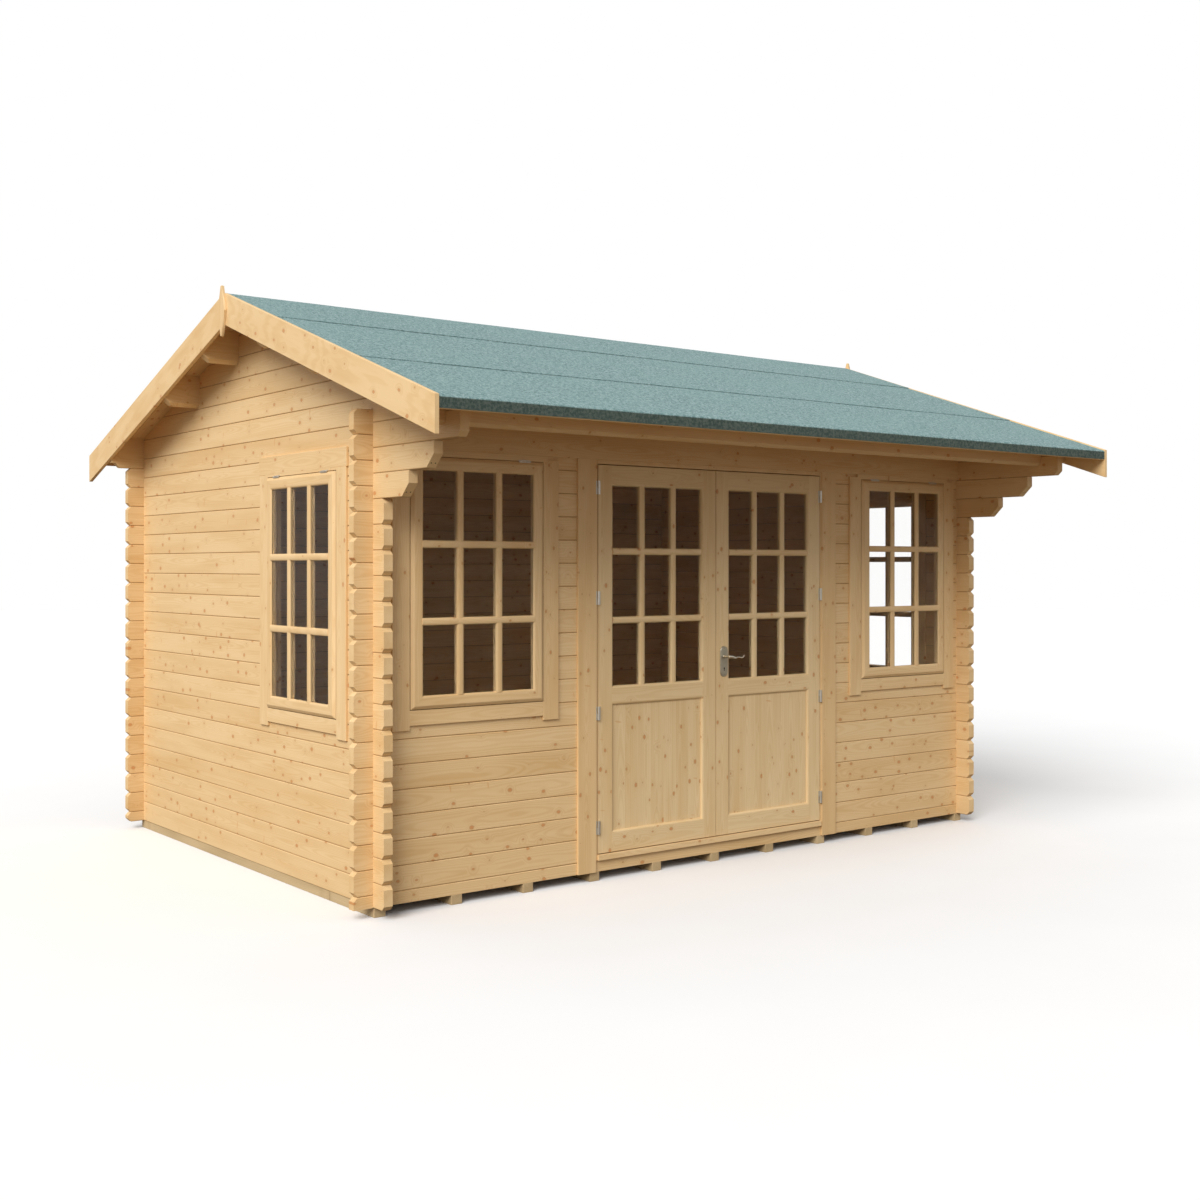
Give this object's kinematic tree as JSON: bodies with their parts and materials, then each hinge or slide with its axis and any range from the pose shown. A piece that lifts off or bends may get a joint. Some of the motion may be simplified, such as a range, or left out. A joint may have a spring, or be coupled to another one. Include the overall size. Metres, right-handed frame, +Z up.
{
  "type": "log cabin",
  "caption": "Rectangular log cabin with crossed log corners, a felted gable roof over a deep front canopy, glazed double doors and top-hung windows.",
  "frame": {"origin": "on the ground, under the middle of the roof ridge, which is the centre of the bounding box's base", "axes": "+X along the ridge, to the right of someone facing the doors; +Y from the front with the doors to the back; +Z up"},
  "size_m": [4.478, 3.972, 2.9186],
  "materials": {
    "wall_logs": "planed bare pine logs with knots",
    "trim_pine": "planed bare pine",
    "door_pine": "planed bare pine",
    "sash_pine": "planed bare pine",
    "barge_pine": "planed bare pine",
    "roof_timber": "planed bare pine",
    "floor_timber": "planed bare pine boards",
    "treated_timber": "green treated rough timber",
    "roof_felt": "mineral faced green bitumen felt",
    "window_glass": "clear",
    "zinc_steel": "zinc plated",
    "handle_steel": "polished"
  },
  "bodies": {
    "cabin": {"floor_bearers": "treated_timber", "floor_boards": "floor_timber", "front_sill_log": "wall_logs", "front_wall_left": "wall_logs", "front_wall_right": "wall_logs", "front_wall_top": "wall_logs", "front_head_board": "trim_pine", "left_wall": "wall_logs", "right_wall": "wall_logs", "back_wall": "wall_logs", "back_eaves_log": "roof_timber", "left_gable": "wall_logs", "right_gable": "wall_logs", "front_eaves_beam": "roof_timber", "ridge_purlin": "roof_timber", "front_upper_purlin": "roof_timber", "front_lower_purlin": "roof_timber", "back_upper_purlin": "roof_timber", "back_lower_purlin": "roof_timber", "front_roof_boards": "roof_timber", "back_roof_boards": "roof_timber", "front_eaves_board": "roof_timber", "back_eaves_board": "roof_timber", "front_roof_felt": "roof_felt", "back_roof_felt": "roof_felt", "ridge_felt": "roof_felt", "left_barge_boards": "barge_pine", "right_barge_boards": "barge_pine", "left_finial": "barge_pine", "right_finial": "barge_pine", "left_door_post": "trim_pine", "right_door_post": "trim_pine", "door_head": "trim_pine", "door_threshold": "trim_pine", "frame_hinges": "zinc_steel", "front_left_window_frame": "trim_pine", "front_left_window_sash": "sash_pine", "front_left_window_glass": "window_glass", "front_right_window_frame": "trim_pine", "front_right_window_sash": "sash_pine", "front_right_window_glass": "window_glass", "left_window_frame": "trim_pine", "left_window_sash": "sash_pine", "left_window_glass": "window_glass", "right_window_frame": "trim_pine", "right_window_sash": "sash_pine", "right_window_glass": "window_glass"},
    "left_leaf": {"left_door": "door_pine", "left_door_glass": "window_glass", "left_door_hinges": "zinc_steel"},
    "right_leaf": {"right_door": "door_pine", "right_door_glass": "window_glass", "right_door_hinges": "zinc_steel", "lock_plates": "handle_steel"},
    "handle": {"door_handle": "handle_steel"}
  },
  "joints": [
    {"name": "left_door_hinge", "type": "hinge", "parent": "cabin", "child": "left_leaf", "pos_m": [-0.778, -1.138, 1.045], "axis": [0, 0, -1], "range_deg": [0, 110]},
    {"name": "right_door_hinge", "type": "hinge", "parent": "cabin", "child": "right_leaf", "pos_m": [0.778, -1.138, 1.045], "axis": [0, 0, 1], "range_deg": [0, 110]},
    {"name": "handle_turn", "type": "hinge", "parent": "right_leaf", "child": "handle", "pos_m": [0.0545, -1.131, 1.07], "axis": [0, 1, 0], "range_deg": [0, 45], "stiffness_Nm_per_rad": 1.5, "springref_deg": -45.84}
  ]
}
